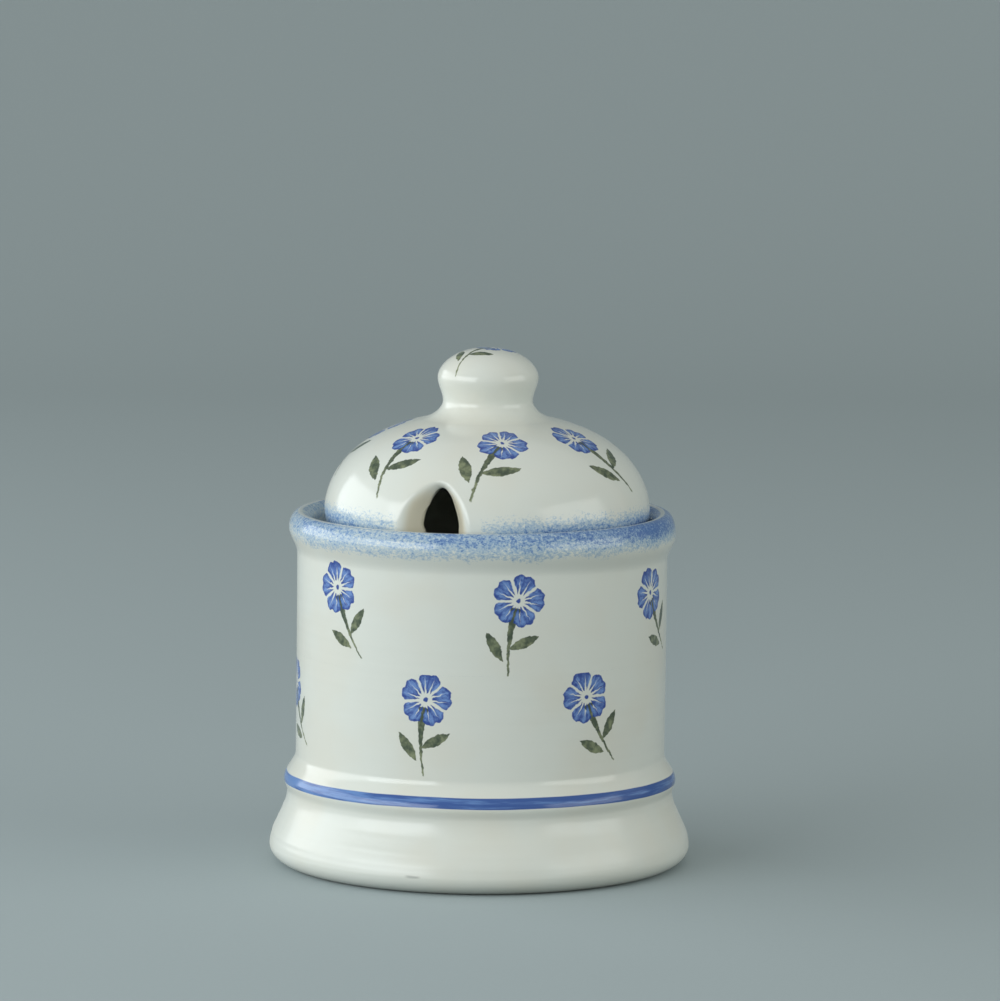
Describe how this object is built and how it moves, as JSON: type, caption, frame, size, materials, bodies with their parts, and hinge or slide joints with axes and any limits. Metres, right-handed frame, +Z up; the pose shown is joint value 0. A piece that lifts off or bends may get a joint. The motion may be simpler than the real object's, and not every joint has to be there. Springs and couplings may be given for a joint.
{
  "type": "ceramic jam pot",
  "caption": "Lidded ceramic jam pot: straight wall on a flared foot, thick rolled rim, and a domed lid with a round knob and an arched notch for a spoon.",
  "frame": {"origin": "centre of the foot ring, on the surface that the pot stands on", "axes": "+Z up along the pot's axis; -Y towards the spoon notch in the lid"},
  "size_m": [0.1048, 0.1048, 0.1285],
  "materials": {
    "pot_glaze": "clear gloss glaze over cream-white earthenware",
    "lid_glaze": "clear gloss glaze over cream-white earthenware"
  },
  "bodies": {
    "root": {"pot": "pot_glaze", "lid": "lid_glaze"}
  },
  "joints": []
}
